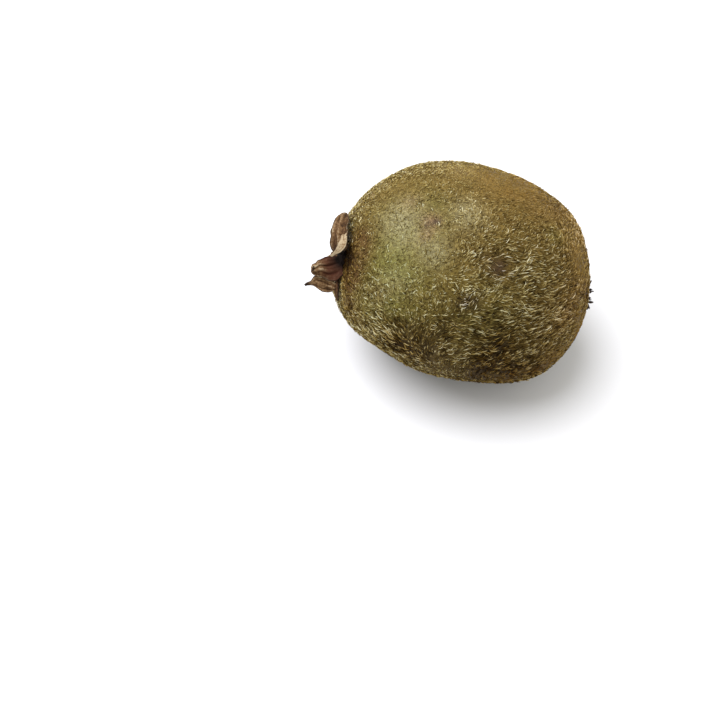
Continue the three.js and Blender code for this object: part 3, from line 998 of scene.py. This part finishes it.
def style_paths(rng, stations):
    """Bent paths of styles that lean together in clumps: styles by stations by 3."""
    ends = np.repeat(np.array(STYLE_CLUMPS), STYLES_A_CLUMP, axis=0)
    count = len(ends)
    azimuth = np.arctan2(ends[:, 1], ends[:, 0]) + rng.uniform(-0.75, 0.75, count)
    out = rng.uniform(0.5, 2.0, count)
    roots = np.stack([out * np.cos(azimuth), out * np.sin(azimuth), np.full(count, 0.5)], axis=1)
    ends = ends * rng.uniform(0.85, 1.12, (count, 1)) + rng.normal(0, 0.42, (count, 3))
    share = np.linspace(0, 1, stations)[None, :, None]
    bow = rng.normal(0.3, 0.2, (count, 1, 1)) * np.array([0, 0, 1.0]) + rng.normal(0, 0.16, (count, 1, 3))
    paths = roots[:, None] * (1 - share) + ends[:, None] * share + bow * 4 * share * (1 - share)
    kinks = rng.normal(0, 0.05, paths.shape)
    kinks[:, 0] = 0
    return paths + kinks


def make_styles(shift):
    rng = np.random.default_rng(7)
    paths = style_paths(rng, STYLE_STATIONS)
    count = len(paths)
    thick = rng.uniform(0.3, 0.46, count)[:, None] * np.linspace(1.25, 0.6, STYLE_STATIONS - 1)
    tube_points, tube_faces = tubes(paths, thick, np.tile([0.01, 0.02, 1.0], (count, 1)))
    quads, tips, root = (part.reshape(-1, part.shape[-1]) for part in tube_faces)
    points, faces, caps = corky_button(STYLE_SCAR_RADIUS, STYLE_SCAR_HEIGHT, 1.1, 0.12, 95)
    begin = len(tube_points)
    placed = onto_end(np.concatenate([tube_points, points]), 1, shift)
    piece = new_mesh("dried_style_tuft", placed, [
        np.concatenate([quads, faces + begin]), np.concatenate([tips, root, caps + begin])
    ])
    graph = Graph("dried_style")
    noise = graph.noise(0.5, 4.0, 0.65)
    colour = graph.ramp(
        noise, (0.3, (0.012, 0.008, 0.006)), (0.55, (0.035, 0.02, 0.013)), (0.8, (0.12, 0.075, 0.04)))
    normal = graph.bump(noise, 0.1)
    dress(piece, "dried_style", graph.finish(colour, 0.75, normal, specular=0.3), "dried_styles")
    return piece


# Floor and light
FLOOR_HALF = 3.0  # metres from the middle to an edge
KEY_DIRECTION = Vector((-0.42, 0.10, 0.90)).normalized()
KEY_DISTANCE = 0.9
KEY_SIZE = 0.9
KEY_WATTS = 13.3
KEY_COLOUR = (0.99, 1.0, 1.09)
KEY_AIM = (0, 0, 0.025)
WORLD_STRENGTH = 0.9


def make_floor():
    corners = np.array([[-1, -1, 0], [1, -1, 0], [1, 1, 0], [-1, 1, 0]])
    floor = new_mesh("floor", corners * FLOOR_HALF * METRE, [np.array([[0, 1, 2, 3]])])
    graph = Graph("floor")
    colour = graph.ramp(graph.noise(400.0, 2.0), (0.0, (0.70, 0.70, 0.69)), (1.0, (0.74, 0.74, 0.73)))
    floor.data.materials.append(graph.finish(colour, 0.9, specular=0.1))


def make_light(name, place, size, watts, colour, aim):
    data = bpy.data.lights.new(name, "AREA")
    data.shape = "DISK"
    data.size = size
    data.energy = watts
    data.color = colour
    light = bpy.data.objects.new(name, data)
    light.location = place
    light.rotation_mode = "QUATERNION"
    light.rotation_quaternion = (Vector(aim) - Vector(place)).to_track_quat("-Z", "Y")
    bpy.context.scene.collection.objects.link(light)


def make_world(strength):
    world = bpy.data.worlds.new("studio")
    world.use_nodes = True
    background = world.node_tree.nodes["Background"]
    background.inputs["Color"].default_value = (1.0, 0.99, 0.97, 1)
    background.inputs["Strength"].default_value = strength
    bpy.context.scene.world = world


# The whole scene
bpy.context.scene.view_settings.view_transform = "Standard"
points, normals, faces, shift = skin_surface()
middle = shift.copy()
make_camera(middle)
skin_piece = new_mesh("skin_of_fruit", points, [faces])
photograph = Photograph(skin_piece, middle)
tone, mark = skin_tones(points, photograph)
set_colour(skin_piece, "tone", tone)
set_colour(skin_piece, "mark", mark)
set_value(skin_piece, "painted_sheen", painted_skin_sheen(points, photograph))
dress(skin_piece, "skin", skin_material(), "fruit")
surface = (points, normals, faces)
ends = end_tree(make_calyx(shift), make_styles(shift))

pale = hair_material(
    "hair_pale", (0.0, (0.06, 0.036, 0.006)), (0.35, (0.24, 0.168, 0.045)), (0.65, (0.5, 0.41, 0.165)),
    (1.0, (0.84, 0.8, 0.54)),
)
brown = hair_material(
    "hair_brown", (0.0, (0.016, 0.008, 0.0008)), (0.35, (0.085, 0.052, 0.01)), (0.65, (0.25, 0.18, 0.05)),
    (1.0, (0.5, 0.42, 0.2)),
)
for coat in COATS:
    make_fur(coat, surface, photograph, shift, ends, {"pale": pale, "brown": brown}[coat["colour"]])

make_floor()
make_light("key", tuple(KEY_DIRECTION * KEY_DISTANCE), KEY_SIZE, KEY_WATTS, KEY_COLOUR, KEY_AIM)
make_world(WORLD_STRENGTH)
